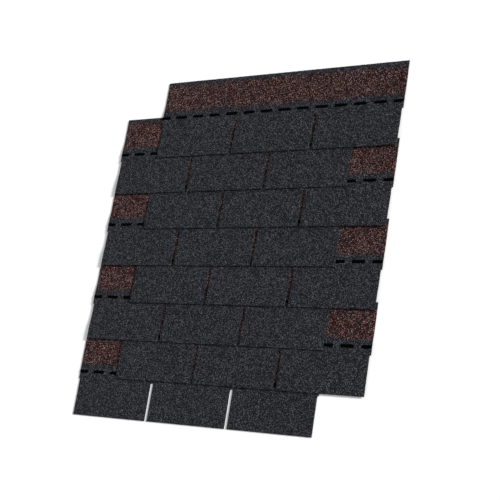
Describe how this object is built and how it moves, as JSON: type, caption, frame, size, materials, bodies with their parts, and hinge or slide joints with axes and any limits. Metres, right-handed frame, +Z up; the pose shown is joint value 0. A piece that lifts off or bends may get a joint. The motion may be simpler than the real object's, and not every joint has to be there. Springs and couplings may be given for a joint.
{
  "type": "asphalt shingle bundle",
  "caption": "Lapped set of tabbed asphalt roof shingles in staggered courses, with a mineral granule face and self-seal bitumen dashes.",
  "frame": {"origin": "centre of the set's box, at the floor it lies on", "axes": "+X along the courses, +Y up the slope from the lowest butt edge to the top edge, +Z up"},
  "size_m": [1.1666, 1.332, 0.0098],
  "materials": {
    "granule_sheet": "charcoal mineral granules on bitumen sheet, brown in the headlap",
    "bitumen_seal": "smooth black bitumen"
  },
  "bodies": {
    "root": {"course_1_shingle": "granule_sheet", "course_2_shingle": "granule_sheet", "course_3_shingle": "granule_sheet", "course_4_shingle": "granule_sheet", "course_5_shingle": "granule_sheet", "course_6_shingle": "granule_sheet", "course_7_shingle": "granule_sheet", "course_8_shingle": "granule_sheet", "course_1_seal_dashes": "bitumen_seal", "course_2_seal_dashes": "bitumen_seal", "course_3_seal_dashes": "bitumen_seal", "course_4_seal_dashes": "bitumen_seal", "course_5_seal_dashes": "bitumen_seal", "course_6_seal_dashes": "bitumen_seal", "course_7_seal_dashes": "bitumen_seal", "course_8_seal_dashes": "bitumen_seal"}
  },
  "joints": []
}
